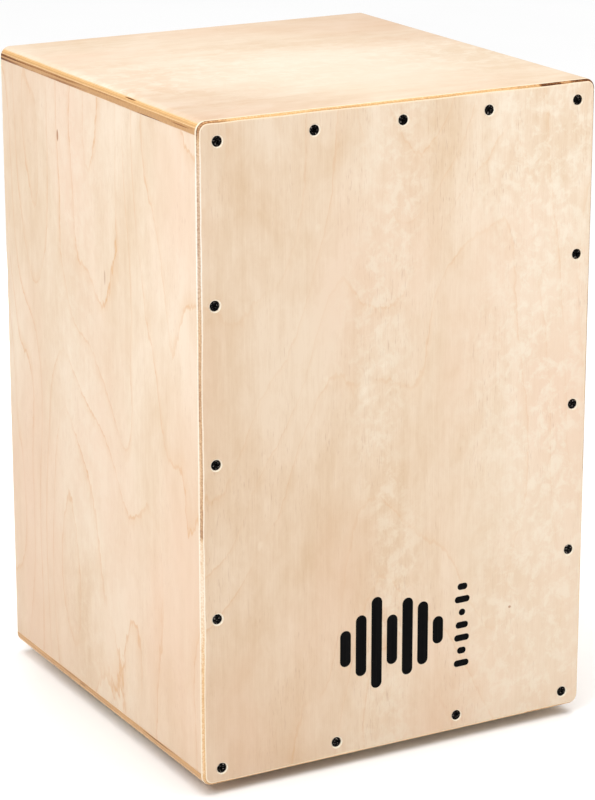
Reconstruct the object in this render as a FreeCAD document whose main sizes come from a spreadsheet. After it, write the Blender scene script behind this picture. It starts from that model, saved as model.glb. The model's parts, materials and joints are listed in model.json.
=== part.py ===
import FreeCAD, Part
import os

import Sketcher

# Cajon: a plywood box drum with a screwed-on playing face, a sound hole in its back and a
# snare bar behind the face.  Millimetres, +Z up, the playing face looks along -Y, and the
# origin is on the floor under the middle of the box.

DIMENSIONS = {
    # box
    "body_width": 300,
    "body_depth": 300,
    "body_height": 450,
    "panel_thickness": 9,
    "edge_round": 7,
    "back_round": 3,
    # playing face
    "face_thickness": 4,
    "face_round": 3.2,
    # back panel and sound hole
    "back_thickness": 5,
    "back_inset": 1,
    "sound_hole_diameter": 120,
    "sound_hole_height": 282,
    "sound_hole_round": 1.5,
    # glue battens
    "front_batten": 14,
    "rear_batten": 12,
    # screws of the playing face
    "top_row_inset": 13.5,
    "bottom_row_inset": 11.2,
    "side_row_inset": 11.5,
    "corner_screw_inset": 14,
    "top_row_step": 66,
    "bottom_row_offset": 48,
    "screw_shank": 3.5,
    "screw_head": 7.0,
    "screw_rim": 0.15,
    "screw_sink": 0.75,
    "screw_length": 16,
    "countersink": 8.9,
    "hole_clearance": 0.05,
    "hole_run_out": 0.5,
    # feet
    "foot_diameter": 22,
    "foot_taper": 1,
    "foot_height": 8,
    "foot_inset": 40,
    "foot_recess_diameter": 10.4,
    "foot_recess_depth": 4,
    "washer_diameter": 9.6,
    "washer_thickness": 1,
    "foot_screw_shank": 4,
    "foot_screw_head": 7.6,
    "foot_screw_head_height": 2.2,
    "foot_screw_reach": 7,
    # snare bar and its pivot
    "bar_thickness": 18,
    "bar_height": 318,
    "snare_lean": 8,
    "wire_gap": 0.3,
    "pin_diameter": 6,
    "pin_depth_in_bar": 14,
    "pin_depth_in_cleat": 10,
    "pivot_clearance": 0.05,
    "cleat_thickness": 12,
    "cleat_depth": 30,
    "cleat_height": 44,
    "friction_washer_diameter": 18,
    "friction_washer_thickness": 1.4,
    "washer_gap": 0.1,
    # snare wires
    "set_offset": 70,
    "plate_width": 52,
    "plate_height": 15,
    "plate_thickness": 1,
    "crimp_height": 6,
    "crimp_thickness": 3.6,
    "wire_count": 10,
    "wire_step": 4.6,
    "wire_diameter": 2.2,
    "wire_reach": 100,
    "wire_clearance": 0.03,
    "plate_screw_step": 19,
    "plate_screw_shank": 3,
    "plate_screw_head": 6,
    "plate_screw_head_height": 1.6,
    "plate_screw_length": 11,
}

# Planes of the box, as expressions of the driving dimensions.
RIGHT = "dims.body_width / 2"
LEFT = "-dims.body_width / 2"
INNER = "(dims.body_width / 2 - dims.panel_thickness)"
BACK = "(dims.body_depth + dims.face_thickness) / 2"
FACE = "-(dims.body_depth + dims.face_thickness) / 2"
FRONT = "(%s + dims.face_thickness)" % FACE
BASE = "dims.foot_height"
TOP = "(dims.foot_height + dims.body_height)"
FLOOR = "(dims.foot_height + dims.panel_thickness)"
CEILING = "(%s - dims.panel_thickness)" % TOP
BACK_OUTER = "(%s - dims.back_inset)" % BACK
BACK_INNER = "(%s - dims.back_thickness)" % BACK_OUTER
CLEAT_INNER = "(%s - dims.cleat_thickness)" % INNER
BAR_END = "(%s - dims.friction_washer_thickness - dims.washer_gap)" % CLEAT_INNER

# The wires lean forward from the bar until their tips lie against the back of the face.
WIRE_PLANE = "(dims.bar_thickness / 2 + dims.crimp_thickness / 2)"
PIVOT_Y = ("(%s + dims.wire_gap + (%s + dims.wire_diameter / 2) * cos(dims.snare_lean * 1deg)"
           " + dims.wire_reach * sin(dims.snare_lean * 1deg))" % (FRONT, WIRE_PLANE))
PIVOT_Z = "(dims.foot_height + dims.bar_height)"

doc = FreeCAD.newDocument("cajon")
sheet = doc.addObject("Spreadsheet::Sheet", "dims")


def fill_sheet():
    """Writes each driving dimension beside its name, and gives the cell that alias."""
    for row, (name, number) in enumerate(DIMENSIONS.items(), start=1):
        sheet.set("A%d" % row, name)
        sheet.set("B%d" % row, str(number))
        sheet.setAlias("B%d" % row, name)
    doc.recompute()


def value(expression):
    """The number that an expression of the sheet has now."""
    result = sheet.evalExpression(expression)
    return float(getattr(result, "Value", result))


def bind(thing, **expressions):
    for name, expression in expressions.items():
        thing.setExpression(name, expression)
    return thing


def place(thing, x="0", y="0", z="0", turn="0", axis=(1, 0, 0)):
    """Puts a piece at a point, turned about an axis, all bound to the sheet."""
    thing.Placement = FreeCAD.Placement(FreeCAD.Vector(), FreeCAD.Rotation(FreeCAD.Vector(*axis), 1))
    thing.setExpression("Placement.Base.x", x)
    thing.setExpression("Placement.Base.y", y)
    thing.setExpression("Placement.Base.z", z)
    thing.setExpression("Placement.Rotation.Angle", turn)
    return thing


def lean(thing, x, forward, up, turn="0"):
    """Puts a piece at a point of the leaning snare bar, measured from the pivot axis."""
    angle = "(dims.snare_lean * 1deg)"
    y = "%s - (%s) * cos(%s) - (%s) * sin(%s)" % (PIVOT_Y, forward, angle, up, angle)
    z = "%s - (%s) * sin(%s) + (%s) * cos(%s)" % (PIVOT_Z, forward, angle, up, angle)
    return place(thing, x, y, z, turn="dims.snare_lean + %s" % turn)


# ---- primitives ----

def box(name, width, depth, height):
    return bind(doc.addObject("Part::Box", name), Length=width, Width=depth, Height=height)


def cylinder(name, diameter, length):
    return bind(doc.addObject("Part::Cylinder", name), Radius="(%s) / 2" % diameter, Height=length)


def cone(name, diameter, end_diameter, length):
    return bind(doc.addObject("Part::Cone", name), Radius1="(%s) / 2" % diameter,
                Radius2="(%s) / 2" % end_diameter, Height=length)


def group(name, members):
    """Separate solids kept together in one piece."""
    result = doc.addObject("Part::Compound", name)
    result.Links = members
    return result


def joined(name, members):
    result = doc.addObject("Part::MultiFuse", name)
    result.Shapes = members
    return result


def cut(name, blank, tools):
    result = doc.addObject("Part::Cut", name)
    result.Base = blank
    result.Tool = tools[0] if len(tools) == 1 else group(name + "_tools", tools)
    return result


# ---- sketched bodies ----

def new_body(name):
    return doc.addObject("PartDesign::Body", name)


def sketch_on(body, role, name, offset="0"):
    """A sketch on one of the body's own origin planes, moved along that plane's normal."""
    sketch = body.newObject("Sketcher::SketchObject", name)
    plane = [item for item in body.Origin.OriginFeatures if item.Role == role][0]
    sketch.AttachmentSupport = [(plane, "")]
    sketch.MapMode = "FlatFace"
    sketch.setExpression("AttachmentOffset.Base.z", offset)
    return sketch


def hold(sketch, kind, geometry, vertex, name, expression):
    """Ties a vertex to its distance from the sketch's origin."""
    number = sketch.addConstraint(
        Sketcher.Constraint(kind, -1, 1, geometry, vertex, value(expression)))
    sketch.renameConstraint(number, name)
    sketch.setExpression("Constraints." + name, expression)


def rectangle(sketch, left, right, low, high):
    """A rectangle whose sides stay at the given distances from the origin."""
    x = [value(left), value(right)]
    y = [value(low), value(high)]
    corners = [FreeCAD.Vector(*pair) for pair in ((x[0], y[0]), (x[1], y[0]), (x[1], y[1]), (x[0], y[1]))]
    sides = []
    for number, corner in enumerate(corners):
        sides.append(sketch.addGeometry(Part.LineSegment(corner, corners[(number + 1) % 4]), False))
    for number, side in enumerate(sides):
        sketch.addConstraint(Sketcher.Constraint("Coincident", side, 2, sides[(number + 1) % 4], 1))
        kind = "Horizontal" if number % 2 == 0 else "Vertical"
        sketch.addConstraint(Sketcher.Constraint(kind, side))
    hold(sketch, "DistanceX", sides[0], 1, "left", left)
    hold(sketch, "DistanceY", sides[0], 1, "low", low)
    hold(sketch, "DistanceX", sides[2], 1, "right", right)
    hold(sketch, "DistanceY", sides[2], 1, "high", high)


def circle(sketch, x, y, diameter, name):
    """A circle whose centre and diameter follow the sheet."""
    centre = FreeCAD.Vector(value(x), value(y))
    ring = sketch.addGeometry(Part.Circle(centre, FreeCAD.Vector(0, 0, 1), value(diameter) / 2), False)
    hold(sketch, "DistanceX", ring, 3, name + "_x", x)
    hold(sketch, "DistanceY", ring, 3, name + "_y", y)
    number = sketch.addConstraint(Sketcher.Constraint("Diameter", ring, value(diameter)))
    sketch.renameConstraint(number, name + "_diameter")
    sketch.setExpression("Constraints.%s_diameter" % name, diameter)


def pad(body, sketch, length):
    feature = body.newObject("PartDesign::Pad", body.Name + "_pad")
    feature.Profile = sketch
    feature.setExpression("Length", length)
    doc.recompute()
    return feature


def fillet(body, feature, radius, wanted):
    """Rounds the edges of a feature whose bounding boxes pass the test."""
    names = []
    for number, edge in enumerate(feature.Shape.Edges, start=1):
        if wanted(edge.BoundBox):
            names.append("Edge%d" % number)
    before = feature.Shape.Volume
    result = body.newObject("PartDesign::Fillet", body.Name + "_round")
    result.Base = (feature, names)
    result.setExpression("Radius", radius)
    doc.recompute()
    if not names or result.Shape.Volume >= before:
        raise ValueError("nothing was rounded on " + body.Name)
    return result


def at(low, high, plane, tolerance=0.01):
    """True where a bounding box lies flat in one plane."""
    return abs(low - plane) < tolerance and abs(high - plane) < tolerance


# ---- plywood box ----

def lid(name, low, high, outer):
    """Top or bottom panel: full width, with its outer long edges and its back edge rounded."""
    body = new_body(name)
    sketch = sketch_on(body, "XZ_Plane", name + "_outline", "-(%s)" % BACK)
    rectangle(sketch, LEFT, RIGHT, low, high)
    blank = pad(body, sketch, "dims.body_depth")
    edge_z = value(outer)
    half = value(RIGHT)
    rounded = fillet(body, blank, "dims.edge_round",
                     lambda b: at(b.ZMin, b.ZMax, edge_z)
                     and (at(b.XMin, b.XMax, half) or at(b.XMin, b.XMax, -half)))
    back_y = value(BACK)
    fillet(body, rounded, "dims.back_round",
           lambda b: at(b.YMin, b.YMax, back_y) and at(b.ZMin, b.ZMax, edge_z))
    return body


def top_panel():
    return lid("top_panel", CEILING, TOP, TOP)


def bottom_panel():
    """The bottom panel is drilled for the screws of the four feet."""
    body = lid("bottom_panel", BASE, FLOOR, BASE)
    sketch = sketch_on(body, "XY_Plane", "foot_holes", BASE)
    diameter = "dims.foot_screw_shank + 2 * dims.hole_clearance"
    for name, x, y in foot_places():
        circle(sketch, x, y, diameter, name)
    before = body.Shape.Volume
    pocket = body.newObject("PartDesign::Pocket", "foot_hole_pocket")
    pocket.Profile = sketch
    pocket.Reversed = True
    pocket.setExpression("Length", "dims.foot_screw_reach + dims.hole_run_out")
    doc.recompute()
    if pocket.Shape.Volume >= before:
        raise ValueError("the foot holes cut nothing")
    return body


def side_panel(name, outer, inner):
    """A side panel stands between top and bottom, and its back outer edge is rounded."""
    body = new_body(name)
    sketch = sketch_on(body, "XY_Plane", name + "_outline", FLOOR)
    low, high = sorted((outer, inner), key=value)
    rectangle(sketch, low, high, FRONT, BACK)
    blank = pad(body, sketch, "%s - %s" % (CEILING, FLOOR))
    outer_x = value(outer)
    back_y = value(BACK)
    fillet(body, blank, "dims.back_round",
           lambda b: at(b.XMin, b.XMax, outer_x) and at(b.YMin, b.YMax, back_y))
    return body


def screw_places():
    """Name, x and z of each screw of the playing face, clockwise from the top left."""
    corner = "(dims.body_width / 2 - dims.corner_screw_inset)"
    side = "(dims.body_width / 2 - dims.side_row_inset)"
    top = "(%s - dims.top_row_inset)" % TOP
    bottom = "(%s + dims.bottom_row_inset)" % BASE
    places = []
    for number, x in enumerate(("-" + corner, "-dims.top_row_step", "0", "dims.top_row_step", corner)):
        places.append(("top_%d" % number, x, top))
    for number, x in enumerate(("-" + corner, "-dims.bottom_row_offset", "dims.bottom_row_offset", corner)):
        places.append(("bottom_%d" % number, x, bottom))
    for number, quarters in enumerate((1, 2, 3)):
        z = "(%s + (%s - %s) * %d / 4)" % (bottom, top, bottom, quarters)
        places.append(("left_%d" % number, "-" + side, z))
        places.append(("right_%d" % number, side, z))
    return places


def playing_face():
    """The playing face covers the whole front, with rounded edges and countersunk holes."""
    body = new_body("playing_face")
    sketch = sketch_on(body, "XZ_Plane", "face_outline", "-(%s)" % FRONT)
    rectangle(sketch, LEFT, RIGHT, BASE, TOP)
    blank = pad(body, sketch, "dims.face_thickness")
    depth = value("dims.face_thickness")
    corners = fillet(body, blank, "dims.edge_round", lambda b: abs(b.YLength - depth) < 0.01)
    face_y = value(FACE)
    fillet(body, corners, "dims.face_round", lambda b: at(b.YMin, b.YMax, face_y))
    holes = sketch_on(body, "XZ_Plane", "face_holes", "-(%s)" % FACE)
    for name, x, z in screw_places():
        circle(holes, x, z, "dims.screw_shank", name)
    doc.recompute()
    before = body.Shape.Volume
    hole = body.newObject("PartDesign::Hole", "face_hole")
    hole.Profile = holes
    doc.recompute()
    hole.ThreadType = "None"
    hole.DepthType = "ThroughAll"
    hole.HoleCutType = "Countersink"
    hole.HoleCutCustomValues = True
    hole.HoleCutCountersinkAngle = 90
    hole.setExpression("Diameter", "dims.screw_shank + 2 * dims.hole_clearance")
    hole.setExpression("HoleCutDiameter", "dims.countersink")
    doc.recompute()
    if hole.Shape.Volume >= before:
        raise ValueError("the face holes cut nothing")
    return body


def back_panel():
    """The back panel sits inside the box, a little inside its back edges."""
    body = new_body("back_panel")
    sketch = sketch_on(body, "XZ_Plane", "back_outline", "-(%s)" % BACK_OUTER)
    rectangle(sketch, "-" + INNER, INNER, FLOOR, CEILING)
    circle(sketch, "0", "%s + dims.sound_hole_height" % BASE, "dims.sound_hole_diameter", "hole")
    blank = pad(body, sketch, "dims.back_thickness")
    outer_y = value(BACK_OUTER)
    diameter = value("dims.sound_hole_diameter")
    fillet(body, blank, "dims.sound_hole_round",
           lambda b: at(b.YMin, b.YMax, outer_y) and abs(b.XLength - diameter) < 0.01)
    return body


# ---- battens ----

def drill(name, x, z):
    """The pilot hole of one face screw, from the front plane into the batten."""
    depth = "dims.screw_length + dims.screw_sink - dims.face_thickness + dims.hole_run_out"
    tool = cylinder("pilot_" + name, "dims.screw_shank + 2 * dims.hole_clearance", depth)
    return place(tool, x, FRONT, z, turn="-90")


def batten(name, x, y, z, width, depth, height, row=""):
    """A glue batten, with pilot holes for the screws of one row of the playing face."""
    if not row:
        return place(box(name, width, depth, height), x, y, z)
    blank = place(box(name + "_blank", width, depth, height), x, y, z)
    low, high = value(x), value("%s + %s" % (x, width))
    drills = [drill(label, sx, sz) for label, sx, sz in screw_places()
              if label.startswith(row) and low < value(sx) < high]
    return cut(name, blank, drills)


def battens(end, thickness, y, rows):
    """Four battens round the inside of the box, at its front or its back."""
    size = "dims." + thickness
    across = "2 * %s" % INNER
    upright = "%s - %s - 2 * %s" % (CEILING, FLOOR, size)
    inner_low = "(%s + %s)" % (FLOOR, size)
    top, bottom, left, right = rows
    return [
        batten("%s_top_batten" % end, "-" + INNER, y, "(%s - %s)" % (CEILING, size),
               across, size, size, top),
        batten("%s_bottom_batten" % end, "-" + INNER, y, FLOOR, across, size, size, bottom),
        batten("%s_left_batten" % end, "-" + INNER, y, inner_low, size, size, upright, left),
        batten("%s_right_batten" % end, "(%s - %s)" % (INNER, size), y, inner_low,
               size, size, upright, right),
    ]


# ---- screws of the playing face ----

def face_screw(name, x, z):
    """A countersunk screw lying along +Y with its flat head just under the surface."""
    start = "(%s + dims.screw_sink)" % FACE
    slope = "(dims.screw_head - dims.screw_shank) / 2"
    rim = place(cylinder("rim_" + name, "dims.screw_head", "dims.screw_rim"), x, start, z, turn="-90")
    head = cone("head_" + name, "dims.screw_head", "dims.screw_shank", slope)
    place(head, x, "%s + dims.screw_rim" % start, z, turn="-90")
    shank = cylinder("shank_" + name, "dims.screw_shank", "dims.screw_length - 2 * dims.screw_rim")
    place(shank, x, "%s + dims.screw_rim" % start, z, turn="-90")
    return joined("screw_" + name, [rim, head, shank])


def face_screws():
    return group("face_screws", [face_screw(name, x, z) for name, x, z in screw_places()])


# ---- feet ----

def foot_places():
    """Name, x and y of the four feet."""
    side = "(dims.body_width / 2 - dims.foot_inset)"
    front = "(%s + dims.foot_inset)" % FACE
    back = "(%s - dims.foot_inset)" % BACK
    return [("front_left", "-" + side, front), ("front_right", side, front),
            ("rear_left", "-" + side, back), ("rear_right", side, back)]


def rubber_foot(name, x, y):
    """A tapered rubber foot with a recess for its washer and screw head."""
    blank = cone(name + "_blank", "dims.foot_diameter - 2 * dims.foot_taper", "dims.foot_diameter",
                 "dims.foot_height")
    place(blank, x, y, "0")
    recess = cylinder(name + "_recess", "dims.foot_recess_diameter", "dims.foot_recess_depth")
    place(recess, x, y, "0")
    bore = cylinder(name + "_bore", "dims.foot_screw_shank + 2 * dims.hole_clearance",
                    "dims.foot_height")
    place(bore, x, y, "0")
    return cut(name + "_foot", blank, [joined(name + "_hollow", [recess, bore])])


def foot_washer(name, x, y):
    low = "dims.foot_recess_depth - dims.washer_thickness"
    disc = place(cylinder(name + "_disc", "dims.washer_diameter", "dims.washer_thickness"), x, y, low)
    bore = cylinder(name + "_eye", "dims.foot_screw_shank + 2 * dims.hole_clearance",
                    "dims.washer_thickness")
    place(bore, x, y, low)
    return cut(name + "_washer", disc, [bore])


def foot_screw(name, x, y):
    """A pan head screw that runs up through washer and foot into the bottom panel."""
    under_head = "(dims.foot_recess_depth - dims.washer_thickness)"
    head = cylinder(name + "_screw_head", "dims.foot_screw_head", "dims.foot_screw_head_height")
    place(head, x, y, "%s - dims.foot_screw_head_height" % under_head)
    shank = cylinder(name + "_screw_shank", "dims.foot_screw_shank",
                     "%s + dims.foot_screw_reach - %s" % (BASE, under_head))
    place(shank, x, y, under_head)
    return joined(name + "_foot_screw", [head, shank])


def feet():
    pieces = [rubber_foot(name, x, y) for name, x, y in foot_places()]
    pieces.append(group("foot_washers", [foot_washer(name, x, y) for name, x, y in foot_places()]))
    pieces.append(group("foot_screws", [foot_screw(name, x, y) for name, x, y in foot_places()]))
    return pieces


# ---- snare ----

def cleat(name, x):
    """A block on the side panel, bored through for the pivot pin."""
    blank = box(name + "_blank", "dims.cleat_thickness", "dims.cleat_depth", "dims.cleat_height")
    place(blank, x, "%s + dims.front_batten" % FRONT, "%s - dims.cleat_height / 2" % PIVOT_Z)
    bore = cylinder(name + "_bore", "dims.pin_diameter + 2 * dims.pivot_clearance",
                    "dims.cleat_thickness")
    place(bore, x, PIVOT_Y, PIVOT_Z, turn="90", axis=(0, 1, 0))
    return cut(name, blank, [bore])


def friction_washer(name, x):
    disc = cylinder(name + "_disc", "dims.friction_washer_diameter", "dims.friction_washer_thickness")
    place(disc, x, PIVOT_Y, PIVOT_Z, turn="90", axis=(0, 1, 0))
    bore = cylinder(name + "_eye", "dims.pin_diameter + 4 * dims.pivot_clearance",
                    "dims.friction_washer_thickness")
    place(bore, x, PIVOT_Y, PIVOT_Z, turn="90", axis=(0, 1, 0))
    return cut(name, disc, [bore])


def pivot_pin(name, x):
    """The pin is fixed in the end of the bar and turns in the cleat."""
    length = "%s - %s + dims.pin_depth_in_bar + dims.pin_depth_in_cleat" % (CLEAT_INNER, BAR_END)
    pin = cylinder(name, "dims.pin_diameter", length)
    return place(pin, x, PIVOT_Y, PIVOT_Z, turn="90", axis=(0, 1, 0))


def plate_screw_places():
    """Name and x of the screws of both end plates, at the middle height of the bar."""
    places = []
    for side, sign in (("left", "-"), ("right", "")):
        for number, step in enumerate(("-dims.plate_screw_step", "0", "dims.plate_screw_step")):
            places.append(("%s_%d" % (side, number), "(%sdims.set_offset + %s)" % (sign, step)))
    return places


# The screws sit in the middle of the plate's flat part, below the crimped edge.
PLATE_SCREW_UP = "(-dims.crimp_height / 2)"


def snare_bar():
    """A square bar across the box, bored at its ends and drilled along its front."""
    half = "dims.bar_thickness / 2"
    blank = box("snare_bar_blank", "2 * %s" % BAR_END, "dims.bar_thickness", "dims.bar_thickness")
    lean(blank, "-" + BAR_END, half, "-" + half)
    tools = []
    for side, x in (("left", "-" + BAR_END), ("right", "(%s - dims.pin_depth_in_bar)" % BAR_END)):
        bore = cylinder("snare_bar_%s_bore" % side, "dims.pin_diameter + dims.pivot_clearance",
                        "dims.pin_depth_in_bar")
        tools.append(place(bore, x, PIVOT_Y, PIVOT_Z, turn="90", axis=(0, 1, 0)))
    for name, x in plate_screw_places():
        bore = cylinder("bar_pilot_" + name, "dims.plate_screw_shank + 2 * dims.hole_clearance",
                        "dims.plate_screw_length")
        tools.append(lean(bore, x, half, PLATE_SCREW_UP, "-90"))
    return cut("snare_bar", blank, tools)


def wire_places(centre):
    """The x of each wire of one set, spread evenly about the set's middle."""
    count = int(value("dims.wire_count"))
    return ["(%s + (%d - (dims.wire_count - 1) / 2) * dims.wire_step)" % (centre, number)
            for number in range(count)]


def end_plate(name, centre):
    """A plate on the front of the bar, with a thick crimped edge that holds the wires."""
    half = "dims.bar_thickness / 2"
    low = "-dims.plate_height / 2"
    left = "(%s - dims.plate_width / 2)" % centre
    crimp_low = "(dims.plate_height / 2 - dims.crimp_height)"
    sheet_metal = box(name + "_sheet", "dims.plate_width", "dims.plate_thickness", "dims.plate_height")
    lean(sheet_metal, left, "%s + dims.plate_thickness" % half, low)
    crimp = box(name + "_crimp", "dims.plate_width", "dims.crimp_thickness", "dims.crimp_height")
    lean(crimp, left, "%s + dims.crimp_thickness" % half, crimp_low)
    tools = []
    for number, x in enumerate(wire_places(centre)):
        bore = cylinder("%s_bore_%d" % (name, number), "dims.wire_diameter + 2 * dims.wire_clearance",
                        "dims.crimp_height")
        tools.append(lean(bore, x, WIRE_PLANE, "%s + dims.plate_thickness" % crimp_low))
    for label, x in plate_screw_places():
        if abs(value(x) - value(centre)) < value("dims.plate_width") / 2:
            bore = cylinder("%s_screw_hole_%s" % (name, label),
                            "dims.plate_screw_shank + 2 * dims.hole_clearance", "dims.crimp_thickness")
            tools.append(lean(bore, x, "%s + dims.crimp_thickness" % half, PLATE_SCREW_UP, "-90"))
    return cut(name, joined(name + "_blank", [sheet_metal, crimp]), tools)


def wire_set(name, centre):
    """Each wire is drawn as a plain rod of the coil's outer diameter."""
    start = "(dims.plate_height / 2 - dims.crimp_height + dims.plate_thickness)"
    rods = []
    for number, x in enumerate(wire_places(centre)):
        rod = cylinder("%s_%d" % (name, number), "dims.wire_diameter", "dims.wire_reach - %s" % start)
        rods.append(lean(rod, x, WIRE_PLANE, start))
    return group(name, rods)


def plate_screw(name, x):
    half = "dims.bar_thickness / 2"
    length = "dims.plate_screw_length"
    outside = "(%s + dims.plate_thickness)" % half
    head = cylinder("plate_screw_head_" + name, "dims.plate_screw_head", "dims.plate_screw_head_height")
    lean(head, x, "%s + dims.plate_screw_head_height" % outside, PLATE_SCREW_UP, "-90")
    shank = cylinder("plate_screw_shank_" + name, "dims.plate_screw_shank", length)
    lean(shank, x, outside, PLATE_SCREW_UP, "-90")
    return joined("plate_screw_" + name, [head, shank])


def snare():
    inner, end = CLEAT_INNER, BAR_END
    pin_start = "(%s - dims.pin_depth_in_bar)" % end
    pin_end = "(%s + dims.pin_depth_in_cleat)" % inner
    return [
        cleat("left_snare_cleat", "-" + INNER),
        cleat("right_snare_cleat", inner),
        friction_washer("left_friction_washer", "-" + inner),
        friction_washer("right_friction_washer", "(%s - dims.friction_washer_thickness)" % inner),
        pivot_pin("left_pivot_pin", "-" + pin_end),
        pivot_pin("right_pivot_pin", pin_start),
        snare_bar(),
        end_plate("left_end_plate", "-dims.set_offset"),
        end_plate("right_end_plate", "dims.set_offset"),
        wire_set("left_snare_wires", "-dims.set_offset"),
        wire_set("right_snare_wires", "dims.set_offset"),
        group("end_plate_screws", [plate_screw(name, x) for name, x in plate_screw_places()]),
    ]


def check(pieces):
    """Stops when anything in the document failed or a piece isn't a sound solid."""
    for thing in doc.Objects:
        if "Invalid" in thing.State or "Error" in thing.State:
            raise ValueError("%s: %s" % (thing.Name, thing.State))
    for piece in pieces:
        if piece.Shape.isNull() or not piece.Shape.isValid() or not piece.Shape.Solids:
            raise ValueError("bad shape: " + piece.Name)


def main():
    fill_sheet()
    pieces = [
        playing_face(),
        top_panel(),
        bottom_panel(),
        side_panel("left_side_panel", LEFT, "-" + INNER),
        side_panel("right_side_panel", RIGHT, INNER),
        back_panel(),
    ]
    pieces += battens("front", "front_batten", FRONT, ("top", "bottom", "left", "right"))
    pieces += battens("rear", "rear_batten", "%s - dims.rear_batten" % BACK_INNER, ("", "", "", ""))
    pieces.append(face_screws())
    pieces += feet()
    pieces += snare()
    doc.recompute()
    check(pieces)
    os.makedirs("parts", exist_ok=True)
    for piece in pieces:
        piece.Label = piece.Name
        piece.Shape.exportStep("parts/%s.step" % piece.Name)
    print("%d pieces" % len(pieces))


main()
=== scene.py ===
import json
import math
import random

import bmesh
import bpy
from mathutils import Matrix, Vector


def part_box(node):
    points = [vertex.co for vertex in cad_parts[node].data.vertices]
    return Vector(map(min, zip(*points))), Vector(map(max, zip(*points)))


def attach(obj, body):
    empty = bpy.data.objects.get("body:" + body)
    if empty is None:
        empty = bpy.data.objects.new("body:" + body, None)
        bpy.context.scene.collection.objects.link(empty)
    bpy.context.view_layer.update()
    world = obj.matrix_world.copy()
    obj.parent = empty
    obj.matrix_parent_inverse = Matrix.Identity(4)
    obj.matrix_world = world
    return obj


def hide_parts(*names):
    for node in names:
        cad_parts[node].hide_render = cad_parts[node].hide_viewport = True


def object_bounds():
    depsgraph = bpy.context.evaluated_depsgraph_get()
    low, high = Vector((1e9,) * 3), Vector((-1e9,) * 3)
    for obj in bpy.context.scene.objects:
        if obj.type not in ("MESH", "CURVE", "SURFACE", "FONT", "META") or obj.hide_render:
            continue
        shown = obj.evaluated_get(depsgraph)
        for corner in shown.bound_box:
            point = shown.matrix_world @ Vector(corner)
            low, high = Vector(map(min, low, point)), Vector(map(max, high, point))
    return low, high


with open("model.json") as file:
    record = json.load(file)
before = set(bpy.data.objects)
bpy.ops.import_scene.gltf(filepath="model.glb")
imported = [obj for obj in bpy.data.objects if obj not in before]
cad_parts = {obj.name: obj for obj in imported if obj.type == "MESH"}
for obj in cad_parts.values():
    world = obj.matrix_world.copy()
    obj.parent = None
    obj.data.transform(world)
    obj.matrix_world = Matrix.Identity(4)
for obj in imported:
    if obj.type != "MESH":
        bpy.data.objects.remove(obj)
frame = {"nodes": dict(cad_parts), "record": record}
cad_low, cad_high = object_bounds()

# Cajon in a plain studio.  Metres, row frame: +Z up, the playing face looks along -Y.

MM = 0.001
MIDDLE = (cad_low + cad_high) / 2

# Rounding of the wood, and the hair-wide bevel that parts two panels.
EDGE_ROUND = 7 * MM
BACK_ROUND = 3 * MM
FACE_ROUND = 3.2 * MM
SEAM = 0.15 * MM
HOLE_ROUND = 1.5 * MM
COUNTERSINK_RADIUS = 4.45 * MM
CORNER_STEPS = 14
ROUND_STEPS = 8

# Turns that bring +Z to the front or to the back.
TO_FRONT = Matrix.Rotation(math.radians(90), 4, "X")
TO_BACK = Matrix.Rotation(math.radians(-90), 4, "X")

# Face screws and the tapered rubber feet.
SCREW_HEAD_RADIUS = 3.5 * MM
SCREW_SHANK_RADIUS = 1.75 * MM
SCREW_LENGTH = 16 * MM
SCREW_RIM = 0.15 * MM
SCREW_RECESS_RADIUS = 2.2 * MM
SCREW_RECESS_DEPTH = 1.6 * MM
FOOT_TAPER = 1 * MM
FOOT_ROUND = 1.2 * MM
FOOT_BEVEL = 0.3 * MM
FOOT_RECESS_RADIUS = 5.2 * MM
FOOT_RECESS_DEPTH = 4 * MM
FOOT_HOLE_RADIUS = 2.05 * MM

# Snare wires: open coils.
WIRES_PER_SET = 10
WIRE_RADIUS = 1.1 * MM
COIL_WIRE_RADIUS = 0.28 * MM
COIL_PITCH = 1.7 * MM
COIL_POINTS_PER_TURN = 10
COIL_SIDES = 5

# Camera: where it stands from the middle of the object, and how it is turned.
CAMERA_OFFSET = Vector((-0.9856, -1.7735, 0.6053))
CAMERA_AZIMUTH = -29.219
CAMERA_ELEVATION = 16.975
CAMERA_LENS = 134.3

# Studio.  Lamps are (name, offset from the middle of the object, diameter, power).
WORLD_LIGHT = 0.15
OVERHEAD_POWER = 2.7
OVERHEAD_SPREAD = 60
FLOOR_REACH = 14
LAMPS = [("left_softbox", (-1.5, -0.9, 1.4), 1.0, 19), ("right_softbox", (0.65, -0.75, 0.55), 0.5, 1.9),
         ("rear_softbox", (0.25, 1.3, 0.0), 0.3, 5)]


# ---- colour and shader nodes ----

def srgb(red, green, blue):
    """A screen colour, 0 to 255, as linear RGBA."""
    def linear(level):
        level /= 255
        return level / 12.92 if level <= 0.04045 else ((level + 0.055) / 1.055) ** 2.4
    return (linear(red), linear(green), linear(blue), 1.0)


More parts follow.
